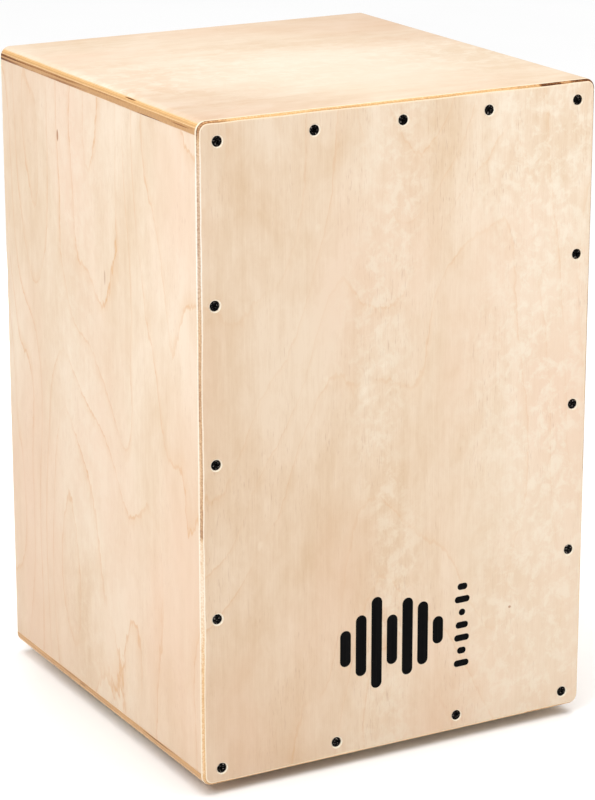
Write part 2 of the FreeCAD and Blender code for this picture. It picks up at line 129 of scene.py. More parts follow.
class Shader:
    """A material under construction: short calls add nodes and return their output sockets."""

    def __init__(self, name):
        self.material = bpy.data.materials.new(name)
        self.material.use_nodes = True
        self.tree = self.material.node_tree
        self.tree.nodes.clear()
        self.surface = self.add("ShaderNodeBsdfPrincipled")
        output = self.add("ShaderNodeOutputMaterial")
        self.tree.links.new(self.surface.outputs["BSDF"], output.inputs["Surface"])
        self.place = self.add("ShaderNodeTexCoord").outputs["Object"]

    def add(self, kind, **settings):
        node = self.tree.nodes.new(kind)
        for key, value in settings.items():
            setattr(node, key, value)
        return node

    def feed(self, socket, value):
        if isinstance(value, bpy.types.NodeSocket):
            self.tree.links.new(value, socket)
        else:
            socket.default_value = value

    def set(self, **inputs):
        """Feeds the surface: the names are socket names with _ for a space."""
        for name, value in inputs.items():
            self.feed(self.surface.inputs[name.replace("_", " ")], value)

    def math(self, operation, first, second=0.0):
        node = self.add("ShaderNodeMath", operation=operation)
        self.feed(node.inputs[0], first)
        self.feed(node.inputs[1], second)
        return node.outputs[0]

    def stretch(self, scale, shift=(0, 0, 0), turn=(0, 0, 0)):
        """The place in the object, scaled, shifted and turned, for a texture to read."""
        node = self.add("ShaderNodeMapping")
        self.feed(node.inputs["Vector"], self.place)
        node.inputs["Scale"].default_value = scale
        node.inputs["Location"].default_value = shift
        node.inputs["Rotation"].default_value = turn
        return node.outputs[0]

    def noise(self, vector, scale=1.0, detail=2.0, roughness=0.5, distortion=0.0):
        node = self.add("ShaderNodeTexNoise")
        self.feed(node.inputs["Vector"], vector)
        node.inputs["Scale"].default_value = scale
        node.inputs["Detail"].default_value = detail
        node.inputs["Roughness"].default_value = roughness
        node.inputs["Distortion"].default_value = distortion
        return node.outputs["Fac"]

    def axis(self, name):
        node = self.add("ShaderNodeSeparateXYZ")
        self.feed(node.inputs[0], self.place)
        return node.outputs[name]

    def mix(self, factor, first, second, blend="MIX"):
        node = self.add("ShaderNodeMix", data_type="RGBA", blend_type=blend)
        self.feed(node.inputs[0], factor)
        self.feed(node.inputs[6], first)
        self.feed(node.inputs[7], second)
        return node.outputs[2]

    def ramp(self, factor, stops):
        """Stops are (position, grey level or colour)."""
        node = self.add("ShaderNodeValToRGB")
        elements = node.color_ramp.elements
        while len(elements) < len(stops):
            elements.new(1.0)
        for element, (position, level) in zip(elements, stops):
            element.position = position
            element.color = level if isinstance(level, tuple) else (level, level, level, 1.0)
        self.feed(node.inputs["Fac"], factor)
        return node.outputs["Color"]

    def span(self, value, low, high, to_low=0.0, to_high=1.0):
        """Maps a range of numbers onto another, clamped."""
        node = self.add("ShaderNodeMapRange", clamp=True)
        self.feed(node.inputs["Value"], value)
        node.inputs["From Min"].default_value = low
        node.inputs["From Max"].default_value = high
        node.inputs["To Min"].default_value = to_low
        node.inputs["To Max"].default_value = to_high
        return node.outputs[0]

    def bump(self, height, distance, strength=1.0):
        node = self.add("ShaderNodeBump")
        node.inputs["Strength"].default_value = strength
        node.inputs["Distance"].default_value = distance
        self.feed(node.inputs["Height"], height)
        return node.outputs["Normal"]


# ---- wood ----

def along(axis, long, across):
    """Scale per axis: few details along the grain, many across it."""
    return tuple(long if name == axis else across for name in "XYZ")


PALE = srgb(248, 229, 206)
DEEP = srgb(233, 205, 173)
WARM = srgb(245, 214, 188)
RING = srgb(226, 170, 104)
# The flame colour is curl figure, and on the top and bottom panels also a painted pool of light.
FLAME_AND_LIGHT = srgb(252, 240, 220)
# The fleck colour marks pores and spots, and on the top and bottom panels also tints broad painted shade.
FLECK_AND_SHADE = srgb(176, 112, 58)
# Multiplied into the veneers as painted shade.
SHADE_TONE = (0.80, 0.72, 0.64, 1.0)


def spot(shader, place, size, softness=0.4):
    """1 inside a small ellipsoid, 0 outside; a size of 0 leaves that axis out."""
    total = None
    for name, middle, half in zip("XYZ", place, size):
        if half:
            reach = shader.math("DIVIDE", shader.math("SUBTRACT", shader.axis(name), middle), half)
            square = shader.math("MULTIPLY", reach, reach)
            total = square if total is None else shader.math("ADD", total, square)
    return shader.span(total, 1 - softness, 1 + softness, 1.0, 0.0)


def veneer(shader, grain, seed, rings, spread, bands=(), marks_and_painted_light=(), painted_shade=()):
    """Peeled birch veneer: growth lines that wander like a map's contours, soft clouds and fine
    fibre.  rings is how strong the growth lines are, and spread how many lie across the grain.
    bands are curly: (across axis, middle, half width, strength).  Then come spots and broad
    clouds of figure, and on the top and bottom panels also broad painted shade and a painted
    pool of light: (place, size, strength, softness, colour).  The last argument is painted
    shade, darker along an axis towards where less light falls: (axis, lit end, shaded end,
    strength).  Returns its colour and a height for bump."""
    shift = (seed * 1.7, seed * 2.3, seed * 3.1)
    # Clouds and fibre
    cloud = shader.noise(shader.stretch(along(grain, 7, 13), shift), detail=5, roughness=0.58,
                         distortion=0.6)
    streak = shader.noise(shader.stretch(along(grain, 7, 150), shift), detail=3, roughness=0.6)
    fibre = shader.noise(shader.stretch(along(grain, 45, 1100), shift), detail=2, roughness=0.6)
    mottle = shader.noise(shader.stretch(along(grain, 48, 95), shift), detail=5, roughness=0.7,
                          distortion=0.5)
    level = shader.math("MULTIPLY", cloud, 0.50)
    for part, share in ((streak, 0.15), (fibre, 0.13), (mottle, 0.22)):
        level = shader.math("ADD", level, shader.math("MULTIPLY", part, share))
    colour = shader.ramp(level, [(0.38, DEEP), (0.58, PALE)])
    blush = shader.noise(shader.stretch(along(grain, 5, 10), shift[::-1]), detail=3)
    colour = shader.mix(shader.span(blush, 0.42, 0.68, 0.0, 0.6), colour, WARM)
    # Growth lines
    growth = shader.noise(shader.stretch(along(grain, 2.4, spread), shift), detail=2, roughness=0.30,
                          distortion=0.20)
    ragged = shader.noise(shader.stretch(along(grain, 90, 260), shift), detail=2)
    growth = shader.math("ADD", growth, shader.math("MULTIPLY", ragged, 0.011))
    phase = shader.math("FRACT", shader.math("MULTIPLY", growth, 15))
    line = shader.ramp(phase, [(0.0, 0.8), (0.015, 0.9), (0.04, 0.30), (0.2, 0.0), (0.98, 0.0), (1.0, 0.8)])
    strength = shader.span(shader.noise(shader.stretch(along(grain, 11, 26), shift), detail=2), 0.36, 0.64,
                           0.12 * rings, rings)
    colour = shader.mix(shader.math("MULTIPLY", line, strength), colour, RING)
    # Curl: bright ripples across the grain
    curl = shader.noise(shader.stretch(along(grain, 95, 105), shift, turn=(0.3, 0.35, 0.3)), detail=4,
                        roughness=0.68, distortion=0.35)
    ripple = shader.span(curl, 0.46, 0.62)
    wobble = shader.noise(shader.stretch(along(grain, 9, 9), shift), detail=3)
    for axis, middle, half, amount in bands:
        offset = shader.math("ADD", shader.axis(axis), shader.math("MULTIPLY", wobble, 0.08))
        reach = shader.math("ABSOLUTE", shader.math("SUBTRACT", offset, middle + 0.04))
        band = shader.math("MULTIPLY", shader.span(reach, half * 0.2, half, 1.0, 0.0), amount)
        colour = shader.mix(shader.math("MULTIPLY", ripple, band), colour, FLAME_AND_LIGHT)
    # Pores and small mineral flecks
    pores = shader.noise(shader.stretch(along(grain, 130, 1700), shift), detail=1)
    sparse = shader.noise(shader.stretch(along(grain, 14, 30), shift[::-1]), detail=1)
    pore = shader.math("MULTIPLY", shader.span(pores, 0.64, 0.74),
                       shader.span(sparse, 0.45, 0.65, 0.02, 0.26))
    colour = shader.mix(pore, colour, FLECK_AND_SHADE)
    # Spots and clouds of figure; on the top and bottom panels also broad painted shade and a painted pool
    # of light.
    for place, size, amount, softness, tint in marks_and_painted_light:
        mark = shader.math("MULTIPLY", spot(shader, place, size, softness), amount)
        colour = shader.mix(mark, colour, tint)
    # Painted shade: darker along an axis towards where less light falls.
    for axis, pale_end, deep_end, amount in painted_shade:
        shade_level = shader.span(shader.axis(axis), pale_end, deep_end, 0.0, amount)
        colour = shader.mix(shade_level, colour, SHADE_TONE, "MULTIPLY")
    return colour, fibre


def layer_ramp(shader, depth, layers):
    """Steps through the plies, a little blurred: layers are (thickness share, level)."""
    total = sum(share for share, _ in layers)
    blur = 0.010
    stops = []
    start = 0.0
    for number, (share, level) in enumerate(layers):
        end = start + share / total
        stops.append((start + blur if number else 0.0, level))
        if number < len(layers) - 1:
            stops.append((end - blur, level))
        start = end
    return shader.ramp(depth, stops)


CREAM = srgb(248, 229, 200)
GOLD = srgb(236, 190, 130)
TAN = srgb(202, 154, 104)
BROWN = srgb(150, 94, 48)
DARK = srgb(84, 44, 16)
# Plies under a painted highlight: near white where they are pale, greyed where they are dark.
GLARE_RAMP = [(0.0, srgb(255, 250, 238)), (0.2, srgb(222, 196, 172)), (0.5, srgb(186, 152, 126)), (1.0, DARK)]


def plywood(name, box, axis, grain, layers, seed, veins, fades=(), knot_holes_and_painted_shade=(), painted_glare=(), least=0.40,
            rim=None, speck=0.55):
    """Lacquered plywood: veneer on the faces, and plies wherever the thickness is cut.

    layers run from the low side to the high side as (thickness share, darkness), with None for
    a face veneer, whose figure veins describes.  fades are (axis, stops) along the edges, a
    factor on the darkness, which stays above least in the dark plies.  The knot holes are
    (place, size, darkness): darker knot wood, and painted shade inside the holes.  The glare
    stretches are (place, size, strength) of edge where a painted highlight turns the plies pale
    and grey.  Cuts further in than rim from the outline are pale, and half mixed with the same
    painted highlight.  speck is how much the end grain speckles the plies."""
    low, high = box
    number = "XYZ".index(axis)
    shader = Shader(name)
    face, fibre = veneer(shader, grain, seed, **veins)
    waver = shader.noise(shader.stretch(along(axis, 0, 24), (seed, seed, seed)), detail=3)
    waver = shader.math("MULTIPLY", shader.math("SUBTRACT", waver, 0.5), 0.7 * MM)
    depth = shader.span(shader.math("ADD", shader.axis(axis), waver), low[number], high[number])
    darkness = layer_ramp(shader, depth, [(share, level or 0.0) for share, level in layers])
    is_cut = layer_ramp(shader, depth, [(share, 0.0 if level is None else 1.0) for share, level in layers])
    shift = (seed, seed * 2, seed * 3)
    patch = shader.noise(shader.stretch(along(axis, 620, 15), shift), detail=4, roughness=0.62)
    grit = shader.noise(shader.stretch(along(axis, 350, 900), shift), detail=2, roughness=0.7)
    amount = shader.span(patch, 0.36, 0.64, 0.45, 1.0)
    for fade_axis, stops in fades:
        place = "XYZ".index(fade_axis)
        run = shader.span(shader.axis(fade_axis), low[place], high[place])
        amount = shader.math("MULTIPLY", amount, shader.ramp(run, stops))
    if rim:
        reach = None
        for across in "XYZ".replace(axis, ""):
            place = "XYZ".index(across)
            for end, sign in ((low[place], 1), (high[place], -1)):
                inward = shader.math("MULTIPLY", shader.math("SUBTRACT", shader.axis(across), end), sign)
                reach = inward if reach is None else shader.math("MINIMUM", reach, inward)
        inside = shader.span(reach, rim, rim + MM)
        amount = shader.math("MULTIPLY", amount, shader.span(inside, 0.0, 1.0, 1.0, 0.1))
    core = layer_ramp(shader, depth, [(share, min(level or 0.0, least)) for share, level in layers])
    darkness = shader.math("MAXIMUM", shader.math("MULTIPLY", darkness, amount), core)
    speckle = shader.math("MULTIPLY", shader.math("SUBTRACT", grit, 0.5), speck)
    speckle = shader.math("MULTIPLY", speckle, shader.span(darkness, 0, 0.5, 0.2, 0.6))
    darkness = shader.math("ADD", darkness, speckle)
    # Knot holes: darker knot wood, and painted shade inside the holes.
    for place, size, level in knot_holes_and_painted_shade:
        hole_darkness = shader.math("MULTIPLY", spot(shader, place, size, 0.7), level)
        darkness = shader.math("MAXIMUM", darkness, hole_darkness)
    cut = shader.ramp(darkness, [(0.0, CREAM), (0.18, GOLD), (0.42, TAN), (0.75, BROWN), (1.0, DARK)])
    # Painted highlight: glare on stretches of the cut edge turns the plies pale and grey.
    for place, size, level in painted_glare:
        mark = shader.math("MULTIPLY", spot(shader, place, size, 0.6), level)
        cut = shader.mix(mark, cut, shader.ramp(darkness, GLARE_RAMP))
    # Cuts inside the outline are pale, and half mixed with the painted highlight.
    if rim:
        cut = shader.mix(shader.math("MULTIPLY", inside, 0.5), cut, shader.ramp(darkness, GLARE_RAMP))
    colour = shader.mix(is_cut, face, cut)
    shader.set(Base_Color=colour, Roughness=shader.span(fibre, 0.3, 0.7, 0.36, 0.50))
    shader.set(Coat_Weight=0.05, Coat_Roughness=0.25, Specular_IOR_Level=0.2)
    height = shader.math("ADD", shader.math("MULTIPLY", fibre, 0.6),
                         shader.math("MULTIPLY", shader.math("MULTIPLY", grit, is_cut), 1.5))
    shader.set(Normal=shader.bump(height, 0.05 * MM, 0.5))
    return shader.material


# Plies in mm: of a box panel from its inner to its outer face, of the playing face and the
# back panel from their low side in Y.
BOX_LAYERS = [(0.3, None), (1.5, 0.95), (1.3, 0.50), (1.4, 0.95), (0.4, 0.10), (0.8, 0.26), (0.25, 0.40),
              (0.7, 0.20), (0.2, 0.32), (0.65, 0.13), (1.5, None)]
FACE_LAYERS = [(0.15, None), (0.3, 0.0), (1.35, 0.46), (0.3, 0.62), (1.7, 0.0), (0.2, None)]
BACK_LAYERS = [(1.4, None), (2.2, 0.7), (1.4, None)]


def bare_wood(name, grain, seed, pale, deep):
    """Unfinished softwood of the battens, cleats and snare bar."""
    shader = Shader(name)
    shift = (seed, seed * 2, seed * 3)
    rings = shader.noise(shader.stretch(along(grain, 3, 260), shift), detail=3, distortion=0.5)
    fibre = shader.noise(shader.stretch(along(grain, 20, 1200), shift), detail=2)
    level = shader.math("ADD", shader.math("MULTIPLY", rings, 0.7), shader.math("MULTIPLY", fibre, 0.3))
    shader.set(Base_Color=shader.ramp(level, [(0.35, deep), (0.62, pale)]))
    shader.set(Roughness=shader.span(fibre, 0.3, 0.7, 0.6, 0.75))
    shader.set(Normal=shader.bump(level, 0.08 * MM, 0.6))
    return shader.material


# ---- other materials ----

def metal(name, colour, roughness):
    """Plated or drawn metal with fine scratches and a little uneven polish."""
    shader = Shader(name)
    scratch = shader.noise(shader.stretch((300, 2600, 2600)), detail=2)
    cloudy = shader.noise(shader.place, scale=160, detail=2)
    dim = tuple(channel * 0.72 for channel in colour[:3]) + (1.0,)
    shader.set(Base_Color=shader.mix(shader.span(cloudy, 0.35, 0.65), dim, colour), Metallic=1.0)
    shader.set(Roughness=shader.span(scratch, 0.3, 0.7, roughness - 0.06, roughness + 0.10))
    shader.set(Normal=shader.bump(scratch, 0.01 * MM, 0.3))
    return shader.material


def black_steel():
    """Blackened screw steel: dark, with a soft sheen and rubbed spots."""
    shader = Shader("black_steel")
    rubbed = shader.noise(shader.place, scale=900, detail=3)
    shader.set(Base_Color=shader.ramp(rubbed, [(0.60, srgb(3, 2, 2)), (0.70, srgb(176, 168, 160))]))
    shader.set(Metallic=shader.span(rubbed, 0.60, 0.70))
    shader.set(Roughness=shader.span(rubbed, 0.3, 0.7, 0.24, 0.36))
    shader.set(Specular_IOR_Level=0.06)
    shader.set(Normal=shader.bump(rubbed, 0.02 * MM, 0.5))
    return shader.material


def rubber():
    """Moulded black rubber with a fine grain and some dust."""
    shader = Shader("black_rubber")
    grain = shader.noise(shader.place, scale=2200, detail=2)
    dust = shader.noise(shader.place, scale=120, detail=3)
    shader.set(Base_Color=shader.ramp(dust, [(0.4, srgb(24, 24, 25)), (0.75, srgb(58, 56, 54))]))
    shader.set(Roughness=shader.span(dust, 0.3, 0.7, 0.66, 0.84))
    shader.set(Normal=shader.bump(grain, 0.05 * MM, 0.5))
    return shader.material


def ink():
    """Screen-printed black ink: nearly even, with the fibre of the wood just showing."""
    shader = Shader("black_ink")
    fibre = shader.noise(shader.stretch(along("Z", 14, 900)), detail=3)
    shader.set(Base_Color=shader.ramp(fibre, [(0.35, srgb(8, 8, 9)), (0.75, srgb(22, 21, 21))]))
    shader.set(Roughness=shader.span(fibre, 0.3, 0.7, 0.55, 0.68), Specular_IOR_Level=0.03)
    shader.set(Normal=shader.bump(fibre, 0.03 * MM, 0.4))
    return shader.material


def floor_paint():
    """Matt white studio floor."""
    shader = Shader("studio_white")
    cloud = shader.noise(shader.place, scale=3, detail=2)
    shader.set(Base_Color=shader.ramp(cloud, [(0.3, 0.965), (0.7, 0.98)]))
    shader.set(Roughness=0.9)
    return shader.material


# ---- meshes ----

def make_object(name, mesh, material):
    thing = bpy.data.objects.new(name, mesh)
    bpy.context.scene.collection.objects.link(thing)
    mesh.materials.clear()
    mesh.materials.append(material)
    return thing


def soften(thing, angle=38):
    """Smooth shading with sharp edges kept, and flat faces kept flat."""
    for polygon in thing.data.polygons:
        polygon.use_smooth = True
    thing.data.set_sharp_from_angle(angle=math.radians(angle))
    modifier = thing.modifiers.new("weighted", "WEIGHTED_NORMAL")
    modifier.keep_sharp = True
    modifier.weight = 100
    return thing


def loft(name, rings):
    """A closed solid through rings of points, capped at both ends."""
    mesh = bpy.data.meshes.new(name)
    work = bmesh.new()
    loops = [[work.verts.new(point) for point in ring] for ring in rings]
    count = len(loops[0])
    for below, above in zip(loops, loops[1:]):
        for number in range(count):
            other = (number + 1) % count
            work.faces.new((below[number], below[other], above[other], above[number]))
    work.faces.new(list(reversed(loops[0])))
    work.faces.new(loops[-1])
    bmesh.ops.recalc_face_normals(work, faces=work.faces)
    work.to_mesh(mesh)
    work.free()
    return mesh


def lathe(name, profile, segments=48):
    """A closed solid of revolution about Z through (radius, height) points; the ends may be on the axis."""
    rings = []
    tiny = 1e-7
    for radius, height in profile:
        rings.append([Vector((max(radius, tiny) * math.cos(turn * math.tau / segments),
                              max(radius, tiny) * math.sin(turn * math.tau / segments), height))
                      for turn in range(segments)])
    mesh = loft(name, rings)
    work = bmesh.new()
    work.from_mesh(mesh)
    bmesh.ops.remove_doubles(work, verts=work.verts, dist=1e-6)
    bmesh.ops.recalc_face_normals(work, faces=work.faces)
    work.to_mesh(mesh)
    work.free()
    return mesh


def merged(name, meshes_and_places):
    """One mesh from copies of meshes, each moved to its place."""
    result = bpy.data.meshes.new(name)
    work = bmesh.new()
    for mesh, place in meshes_and_places:
        part = mesh.copy()
        part.transform(place)
        work.from_mesh(part)
        bpy.data.meshes.remove(part)
    work.to_mesh(result)
    work.free()
    return result


def carve(thing, cutter_mesh):
    """Cuts a mesh out of an object, for good."""
    cutter = bpy.data.objects.new("cutter", cutter_mesh)
    bpy.context.scene.collection.objects.link(cutter)
    modifier = thing.modifiers.new("carve", "BOOLEAN")
    modifier.operation = "DIFFERENCE"
    modifier.solver = "EXACT"
    modifier.object = cutter
    depsgraph = bpy.context.evaluated_depsgraph_get()
    carved = bpy.data.meshes.new_from_object(thing.evaluated_get(depsgraph))
    thing.modifiers.remove(modifier)
    materials = list(thing.data.materials)
    thing.data = carved
    carved.materials.clear()
    for material in materials:
        carved.materials.append(material)
    bpy.data.objects.remove(cutter)
    return thing


def arc(centre, radius, start, end, steps):
    """Points of an arc, angles in quarter turns."""
    points = []
    for step in range(steps + 1):
        angle = math.radians(90 * (start + (end - start) * step / steps))
        points.append((centre[0] + radius * math.cos(angle), centre[1] + radius * math.sin(angle)))
    return points


def rounded_outline(left, right, low, high, radii, steps=CORNER_STEPS):
    """A rectangle with its own radius at each corner: low right, high right, high left, low left."""
    corners = [(right, low, -1, 1), (right, high, -1, -1), (left, high, 1, -1), (left, low, 1, 1)]
    points = []
    for number, ((x, z, inward_x, inward_z), radius) in enumerate(zip(corners, radii)):
        if radius < 1e-6:
            points.append((x, z))
            continue
        centre = (x + inward_x * radius, z + inward_z * radius)
        points += arc(centre, radius, number - 1, number, steps)
    return points


def quarter_round(radius, steps=ROUND_STEPS):
    """Inset and depth of a quarter-round edge, from its side to its face."""
    return [(radius * (1 - math.cos(math.radians(90 * step / steps))),
             radius * (1 - math.sin(math.radians(90 * step / steps)))) for step in range(steps + 1)]


# ---- the box ----

def screw_centres():
    """Centre of each screw head, found from the separate solids of the CAD group."""
    mesh = frame["nodes"]["face_screws"].data
    work = bmesh.new()
    work.from_mesh(mesh)
    bmesh.ops.remove_doubles(work, verts=work.verts, dist=1e-6)
    seen = set()
    centres = []
    for start in work.verts:
        if start.index in seen:
            continue
        island = []
        stack = [start]
        seen.add(start.index)
        while stack:
            vert = stack.pop()
            island.append(vert.co)
            for edge in vert.link_edges:
                other = edge.other_vert(vert)
                if other.index not in seen:
                    seen.add(other.index)
                    stack.append(other)
        middle_x = (min(p.x for p in island) + max(p.x for p in island)) / 2
        middle_z = (min(p.z for p in island) + max(p.z for p in island)) / 2
        centres.append(Vector((middle_x, min(p.y for p in island), middle_z)))
    work.free()
    return sorted(centres, key=lambda c: (round(c.z, 4), round(c.x, 4)))


def playing_face():
    """The playing face: rounded corners and front edge, and a countersunk hole for each screw."""
    low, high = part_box("playing_face")
    rings = []
    for inset, y in [(SEAM, high.y), (0, high.y - SEAM)] + [
            (inset, low.y + depth) for inset, depth in quarter_round(FACE_ROUND)]:
        outline = rounded_outline(low.x + inset, high.x - inset, low.z + inset, high.z - inset,
                                  [EDGE_ROUND - inset] * 4)
        rings.append([Vector((x, y, z)) for x, z in outline])
    edge = [(0.0, 1.0), (0.012, 1.8), (0.05, 1.6), (0.08, 0.75), (0.5, 0.55), (0.85, 0.65), (0.858, 2.1),
            (0.905, 2.1), (0.912, 1.2), (0.932, 1.1), (0.94, 2.1), (0.975, 2.1), (0.985, 1.9), (1.0, 1.6)]
    upright = [(0.0, 0.6), (0.15, 0.5), (0.34, 0.30), (0.385, 0.30), (0.39, 1.05),
               (0.43, 0.95), (0.45, 0.85), (0.75, 1.15), (0.93, 1.0), (0.972, 1.2),
               (0.985, 2.2), (1.0, 1.25)]
    # The last entry is painted shade: darker towards the bottom and towards the left.
    veins = {"rings": 0.34, "spread": 7.0,
             "bands": (("X", low.x + 144 * MM, 34 * MM, 0.50), ("X", low.x + 260 * MM, 75 * MM, 0.60)),
             "marks_and_painted_light": (((low.x + 240 * MM, 0, low.z + 84 * MM), (1.1 * MM, 0, 0.9 * MM), 0.95, 0.4, FLECK_AND_SHADE),
                       ((low.x + 270 * MM, 0, low.z + 92 * MM), (60 * MM, 0, 100 * MM), 0.30, 1.0, FLAME_AND_LIGHT)),
             "painted_shade": (("Z", low.z + 392 * MM, low.z + 12 * MM, 0.36),
                       ("X", low.x + 230 * MM, low.x, 0.46))}
    # Along the left edge, a painted highlight of glare, strongest at the top and fading downwards; the
    # countersink walls are half mixed with it.
    material = plywood("face_plywood", (low, high), "Y", "Z", FACE_LAYERS, 3.0, veins,
                       [("X", edge), ("Z", upright)], least=0.04, rim=FACE_ROUND + MM, speck=1.5,
                       painted_glare=[((low.x, 0, low.z + height * MM), (9 * MM, 0, half * MM), strength)
                               for height, half, strength in ((385, 55, 0.85), (242, 130, 0.50),
                                                              (72, 90, 0.22))])
    face = make_object("playing_face_panel", loft("playing_face_panel", rings), material)
    reach = 6 * MM
    bore, bevel, clear = 1.8 * MM, 0.12 * MM, 1 * MM
    sink = [(0, -reach), (bore, -reach), (bore, bore - COUNTERSINK_RADIUS),
            (COUNTERSINK_RADIUS - bevel, -bevel), (COUNTERSINK_RADIUS + bevel, 0.03 * MM),
            (COUNTERSINK_RADIUS + bevel, clear), (0, clear)]
    cutter = lathe("countersink", sink, 40)
    carve(face, merged("countersinks", [(cutter, Matrix.Translation((c.x, low.y, c.z)) @ TO_FRONT)
                                        for c in screw_centres()]))
    soften(face)
    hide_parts("playing_face")
    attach(face, "cabinet")


def lid(node, seed, fades):
    """Top or bottom panel: the outer long edges and the back edge are rounded."""
    low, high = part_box(node)
    is_top = node == "top_panel"
    rings = []
    for inset, y in [(0, low.y)] + [(inset, high.y - depth) for inset, depth in quarter_round(BACK_ROUND)]:
        radius = EDGE_ROUND - inset
        bottom, top = (low.z, high.z - inset) if is_top else (low.z + inset, high.z)
        radii = [0, radius, radius, 0] if is_top else [radius, 0, 0, radius]
        outline = rounded_outline(low.x + inset, high.x - inset, bottom, top, radii)
        rings.append([Vector((x, y, z)) for x, z in outline])
    layers = BOX_LAYERS if is_top else list(reversed(BOX_LAYERS))
    # The last entry is painted shade: darker towards the right and towards the back.
    veins = {"rings": 0.10, "spread": 6.0, "bands": (("Y", -20 * MM, 110 * MM, 0.50),),
             # The two broad brown clouds, at the front left and the back right, are painted shade; the
             # broad pale cloud in the middle is partly curl figure, partly a painted pool of light.
             "marks_and_painted_light": (((-130 * MM, -130 * MM, 0), (90 * MM, 70 * MM, 0), 0.20, 1.0, FLECK_AND_SHADE),
                       ((150 * MM, 120 * MM, 0), (80 * MM, 90 * MM, 0), 0.12, 1.0, FLECK_AND_SHADE),
                       ((20 * MM, -45 * MM, 0), (100 * MM, 70 * MM, 0), 0.55, 1.0, FLAME_AND_LIGHT)),
             "painted_shade": (("X", 40 * MM, high.x, 0.10), ("Y", 80 * MM, 150 * MM, 0.12))}
    # Knot holes in the left edge: (place in Y, height, half length, darkness).  Their dark is darker knot
    # wood, and painted shade inside the holes.
    if is_top:
        knots = [(-54, high.z - 2.2 * MM, 8, 0.95), (-84, low.z + 0.5 * MM, 20, 0.9),
                 (-128, low.z + 3.0 * MM, 14, 0.75)]
    else:
        knots = [(-82, high.z - 1.3 * MM, 24, 0.95), (36, high.z - 2.4 * MM, 6, 0.85)]
    knot_holes_and_painted_shade = [((low.x, y * MM, z), (10 * MM, half * MM, 0.35 * MM), darkness)
             for y, z, half, darkness in knots]
    material = plywood(node + "_plywood", (low, high), "Z", "X", layers, seed, veins, fades, knot_holes_and_painted_shade,
                       least=0.40 if is_top else 0.34)
    panel = make_object(node + "_board", loft(node + "_board", rings), material)
    soften(panel)
    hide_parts(node)
    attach(panel, "cabinet")


def side(node, seed):
    """A side panel: its back outer edge is rounded, and fine seams part it from top and bottom."""
    low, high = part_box(node)
    rings = []
    for inset, z in ((SEAM, low.z), (0, low.z + SEAM), (0, high.z - SEAM), (SEAM, high.z)):
        if low.x < 0:
            outline = rounded_outline(low.x + inset, high.x, low.y, high.y, [0, 0, BACK_ROUND, 0])
        else:
            outline = rounded_outline(low.x, high.x - inset, low.y, high.y, [0, BACK_ROUND, 0, 0])
        rings.append([Vector((x, y, z)) for x, y in outline])
    layers = BOX_LAYERS if low.x > 0 else list(reversed(BOX_LAYERS))
    # The last entry is painted shade: darker towards the bottom and towards the back.
    veins = {"rings": 0.68, "spread": 8.0, "bands": (("Y", 20 * MM, 70 * MM, 0.22),),
             "marks_and_painted_light": (((0, 57 * MM, high.z - 37.5 * MM), (0, 1.3 * MM, 4.0 * MM), 0.80, 0.4, FLECK_AND_SHADE),
                       ((0, -14 * MM, high.z - 122 * MM), (0, 0.9 * MM, 5.0 * MM), 0.45, 0.4, FLECK_AND_SHADE)),
             "painted_shade": (("Z", high.z - 89 * MM, low.z + 3 * MM, 0.38), ("Y", -100 * MM, 150 * MM, 0.16))}
    material = plywood(node + "_plywood", (low, high), "X", "Z", layers, seed, veins)
    panel = make_object(node + "_board", loft(node + "_board", rings), material)
    soften(panel)
    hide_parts(node)
    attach(panel, "cabinet")


def back():
    """The back panel with its rounded sound hole."""
    low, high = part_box("back_panel")
    mount = [m for m in frame["record"]["mounts"] if m["name"] == "sound_hole"][0]
    radius = mount["dims"]["r_mm"] * MM
    rings = []
    for y in (low.y, high.y):
        outline = rounded_outline(low.x, high.x, low.z, high.z, [0, 0, 0, 0])
        rings.append([Vector((x, y, z)) for x, z in outline])
    veins = {"rings": 0.45, "spread": 7.0}
    material = plywood("back_plywood", (low, high), "Y", "Z", BACK_LAYERS, 9.0, veins)
    panel = make_object("back_board", loft("back_board", rings), material)
    depth = high.y - low.y
    bevel, clear = 0.4 * MM, 1 * MM
    profile = [(0, -depth - clear), (radius + bevel, -depth - clear), (radius + bevel, -depth),
               (radius, -depth + bevel)]
    profile += [(radius + inset, -down) for inset, down in quarter_round(HOLE_ROUND)]
    profile += [(radius + HOLE_ROUND, clear), (0, clear)]
    place = Matrix.Translation((mount["pos_m"][0], high.y, mount["pos_m"][2])) @ TO_BACK
    carve(panel, merged("hole_cutter", [(lathe("hole", profile, 128), place)]))
    soften(panel)
    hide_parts("back_panel")
    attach(panel, "cabinet")


# ---- screws ----

def cross_recess(name, radius, depth):
    """Cutters for a cross recess: two crossed blades, tapered towards the bottom."""
    blade = 0.19
    taper = 0.62
    parts = []
    for turn in (0, 90):
        rings = []
        for height, share in ((radius * 0.3, 1.0), (0, 1.0), (-depth, taper)):
            x = radius * share
            y = radius * blade * (1.15 if height >= 0 else 0.8)
            rings.append([Vector((x, y, height)), Vector((-x, y, height)), Vector((-x, -y, height)),
                          Vector((x, -y, height))])
        parts.append((loft(name + "_blade", rings), Matrix.Rotation(math.radians(turn), 4, "Z")))
    return parts


def carved_screw(name, profile, recess_radius, recess_depth, material):
    """A turned screw with a cross recess, along -Z from its head at z = 0."""
    screw = make_object(name, lathe(name, profile, 40), material)
    for blade, turn in cross_recess(name, recess_radius, recess_depth):
        carve(screw, merged(name + "_cut", [(blade, turn)]))
    mesh = screw.data
    bpy.data.objects.remove(screw)
    return mesh


